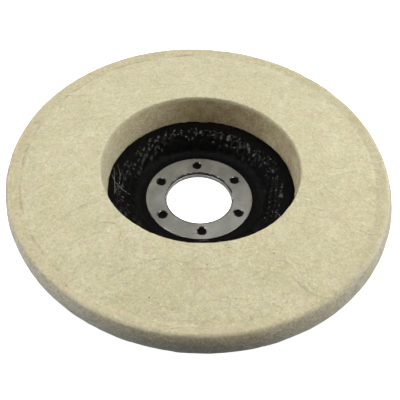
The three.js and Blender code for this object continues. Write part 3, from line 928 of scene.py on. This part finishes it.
def make_fibres(name, material, count, lengths, radii, lift, rise, lowest, seed):
    """Loose wool fibres on the felt above a height, matted down but for ends that stand up to rise proud."""
    rng = np.random.default_rng(seed)
    skin = FeltSkin()
    start = rng.uniform(0, skin.length[-1], count * 4)
    r0, z0 = skin.place(start)
    wanted = (z0 > lowest) & (rng.uniform(0, FELT_RADIUS, len(start)) < r0)
    start, r0 = start[wanted][:count, None], r0[wanted][:count, None]
    shape = (len(start), 1)
    t = np.linspace(0, 1, 8)
    heading = rng.uniform(0, 2 * math.pi, shape) + rng.normal(0, 1.3, shape) * t + rng.normal(0, 0.9, shape) * t**2
    step = rng.uniform(*lengths, shape) / (len(t) - 1)
    s = start + np.cumsum(step * np.sin(heading), axis=1)
    s = np.clip(s, 0.01, skin.length[-1] - 0.01)
    azimuth = rng.uniform(0, 2 * math.pi, shape) + np.cumsum(step * np.cos(heading), axis=1) / r0
    height = rng.uniform(0, lift, shape) * np.sin(math.pi * t) ** 0.5 + rng.uniform(0, rise, shape) * t**1.5
    points, faces = fibre_tubes(skin.at(s, azimuth, height), rng.uniform(*radii, len(start)))
    return build(name, points, faces, material, None)


def hair(start, heading, length, curl, height_at, radius, steps=24):
    """The path of a long hair lying on a surface of height_at(r), from a start (radius, azimuth)."""
    t = np.linspace(0, 1, steps)
    turn = math.radians(heading) + math.radians(curl) * t + 0.15 * np.sin(6.0 * t + heading)
    x = start[0] * math.cos(math.radians(start[1])) + np.cumsum(np.cos(turn)) * length / steps
    y = start[0] * math.sin(math.radians(start[1])) + np.cumsum(np.sin(turn)) * length / steps
    z = height_at(np.hypot(x, y)) + radius + 0.35 * np.sin(math.pi * t)
    return np.stack([x, y, z], axis=-1)


HAIR_RADIUS = 0.026
STRAY_HAIRS = [  # (radius, azimuth) of one end, heading and curl in degrees, length
    ((30.4, 167), -86, 80, 10.4),
    ((30.0, 157), -82, -20, 12.8),
    ((30.8, 161), -72, -32, 12.6),
    ((26.4, 336), -75, 25, 4.2),
    ((28.6, 331), -20, -70, 2.4),
    ((18.9, 266), 10, -20, 3.6),
]


def make_stray_hairs(material):
    paths = [
        hair(start, heading, length, curl, lambda r: plate_z(r, 0) + WEAVE_HEIGHT / 2, HAIR_RADIUS)
        for start, heading, curl, length in STRAY_HAIRS
    ]
    points, faces = fibre_tubes(np.array(paths), np.full(len(paths), HAIR_RADIUS))
    return build("stray_hairs", points, faces, material, None)


# --- stage, light and camera


FLOOR_HALF_WIDTH, DOME_RADIUS, DOME_SEGMENTS = 1500, 1400, 96
TABLE_LIGHT = 7.5  # how bright the white table is to the left and right


def make_floor():
    n = new_material("pale_floor")
    tone = n.mix(n.noise(400, 2), (0.93, 0.93, 0.93), (0.95, 0.95, 0.95))
    n.shader(Base_Color=tone, Roughness=0.9, Emission_Color=(1.0, 1.0, 1.0), Emission_Strength=0.9)
    corners = [(x * FLOOR_HALF_WIDTH, y * FLOOR_HALF_WIDTH, 0) for x, y in ((-1, -1), (1, -1), (1, 1), (-1, 1))]
    floor = mesh_object("floor", corners, [(0, 1, 2, 3)], n.owner)
    floor.visible_diffuse = False


def make_backdrop():
    """A plain pale dome behind the stage, which only the camera sees."""
    n = new_material("pale_backdrop")
    n.shader(
        Base_Color=(0.0, 0.0, 0.0), Roughness=1.0, Specular_IOR_Level=0.0,
        Emission_Color=(0.93, 0.93, 0.93), Emission_Strength=1.0,
    )
    turns = np.linspace(-0.05, math.pi / 2, 24)
    section = DOME_RADIUS * np.stack([np.cos(turns), np.sin(turns)], axis=-1)[:-1]
    rings = revolve(section, DOME_SEGMENTS)
    points = np.concatenate([rings.reshape(-1, 3), [(0, 0, DOME_RADIUS)]])
    top = len(points) - 1
    last = top - DOME_SEGMENTS
    cap = [(last + k, last + (k + 1) % DOME_SEGMENTS, top) for k in range(DOME_SEGMENTS)]
    quads = grid_quads(len(section), DOME_SEGMENTS, False).tolist()
    dome = mesh_object("backdrop", points, quads + cap, n.owner)
    dome.visible_diffuse = dome.visible_glossy = dome.visible_shadow = dome.visible_transmission = False


def make_world():
    """Cool light off the white table to the left and right, a weak glow high up behind, and dim light all round."""
    n = Nodes(bpy.data.worlds.new("studio"))
    bpy.context.scene.world = n.owner
    place = n.split()
    x, z = place["X"], place["Z"]
    below = n.ramp(z, 0.05, -0.15)
    sides = n.math("ADD", n.ramp(x, 0.7, 1.0, 0, TABLE_LIGHT), n.ramp(x, -0.7, -1.0, 0, TABLE_LIGHT))
    behind = n.times(n.ramp(place["Y"], 0.15, 0.5), n.ramp(z, 0.25, 0.5, 0, 0.25))
    table, glow, rest = (
        n.add("ShaderNodeBackground", {"Color": colour, "Strength": strength}).outputs[0]
        for colour, strength in (
            ((0.42, 0.62, 1.0), n.times(below, sides)),
            ((1.0, 1.0, 0.96), behind),
            ((1.0, 0.84, 0.64), 0.065),
        )
    )
    both = n.add("ShaderNodeAddShader", {0: table, 1: glow}).outputs[0]
    n.feed(n.output.inputs["Surface"], n.add("ShaderNodeAddShader", {0: both, 1: rest}).outputs[0])


def softbox(name, place_mm, size_mm, watts, colour):
    """A square lamp turned towards the disc, which the camera doesn't see."""
    lamp = bpy.data.lights.new(name, "AREA")
    lamp.shape = "RECTANGLE"
    lamp.size = lamp.size_y = size_mm * MM
    lamp.energy = watts
    lamp.color = colour
    light = link(name, lamp)
    place = Vector(place_mm) * MM
    light.location = place
    light.rotation_euler = (Vector((0, 0, 0.01)) - place).to_track_quat("-Z", "Y").to_euler()
    light.visible_camera = False


CAMERA_DISTANCE = 262.8
CAMERA_ELEVATION = math.degrees(0.860)
CAMERA_AZIMUTH = -5.2
CAMERA_ROLL = math.degrees(0.047)
CAMERA_LENS = 69.28
CAMERA_OFFSET = (-0.309, 1.013)  # of the spindle axis from the picture's centre, at the front hub ring


def make_camera():
    azimuth, elevation, roll = (math.radians(a) for a in (CAMERA_AZIMUTH, CAMERA_ELEVATION, CAMERA_ROLL))
    forward = Vector((
        -math.sin(azimuth) * math.cos(elevation), math.cos(azimuth) * math.cos(elevation), -math.sin(elevation),
    ))
    right = Vector((math.cos(azimuth), math.sin(azimuth), 0))
    up = right.cross(forward)
    target = Vector((0, 0, HUB_TOP_Z))
    place = target - forward * CAMERA_DISTANCE - right * CAMERA_OFFSET[0] - up * CAMERA_OFFSET[1]
    rolled_right = right * math.cos(roll) + up * math.sin(roll)
    rolled_up = up * math.cos(roll) - right * math.sin(roll)
    data = bpy.data.cameras.new("camera")
    data.lens = CAMERA_LENS
    data.sensor_width = 36
    data.clip_start = 0.01
    camera = link("camera", data)
    turn = Matrix((rolled_right, rolled_up, -forward)).transposed()
    camera.matrix_world = Matrix.Translation(place * MM) @ turn.to_4x4()
    bpy.context.scene.camera = camera


# --- the scene

felt, fibre, cloth, mesh_ply = felt_material(), fibre_material(), cloth_material(), mesh_material()
glue, steel = glue_material(), steel_material()

make_felt(felt)
for name, count, lengths, radii, lift, rise, lowest, seed in (
    ("felt_fibres", 3400, (2, 7), (0.018, 0.034), 0.07, 0.0, 7, 5),
    ("felt_hairs", 260, (7, 15), (0.030, 0.048), 0.10, 0.1, 12, 8),
    ("felt_fuzz", 1800, (0.8, 2.2), (0.015, 0.028), 0.05, 0.5, 6.2, 6),
):
    make_fibres(name, fibre, count, lengths, radii, lift, rise, lowest, seed)
make_glue(glue)
make_front_cloth(cloth)
make_rear_cloth(cloth)
for number, ply in enumerate(("front_mesh_ply", "middle_mesh_ply", "rear_mesh_ply")):
    make_mesh_ply(ply, mesh_ply, 50 + number)
make_hub_ring("front_ring_steel", "front_hub_ring", steel, FRONT_BORE_RADIUS, 0, FRONT_HOLE_START, HUB_TOP_Z, 1)
collar = COLLAR_TOP_Z - HUB_SHEET
make_hub_ring("rear_ring_steel", "rear_hub_ring", steel, BORE_RADIUS, collar, REAR_HOLE_START, 0.0, -1)
make_stray_hairs(fibre)

make_floor()
make_backdrop()
make_world()
for name, place, size, watts, colour in (
    ("right_high", (205, 0, 455), 120, 0.80, (1.0, 0.975, 0.94)),
    ("left_high", (-205, 0, 455), 120, 0.82, (1.0, 0.975, 0.94)),
    ("right_side", (560, -40, 145), 300, 2.15, (0.98, 0.975, 0.97)),
    ("left_side", (-520, -20, 145), 300, 1.35, (0.94, 0.97, 1.0)),
    ("back_left", (-270, 350, 260), 85, 0.28, (0.97, 0.99, 1.0)),
    ("back_right", (270, 350, 260), 85, 0.26, (0.97, 0.99, 1.0)),
):
    softbox(name, place, size, watts, colour)
make_camera()
bpy.context.scene.view_settings.view_transform = "Standard"
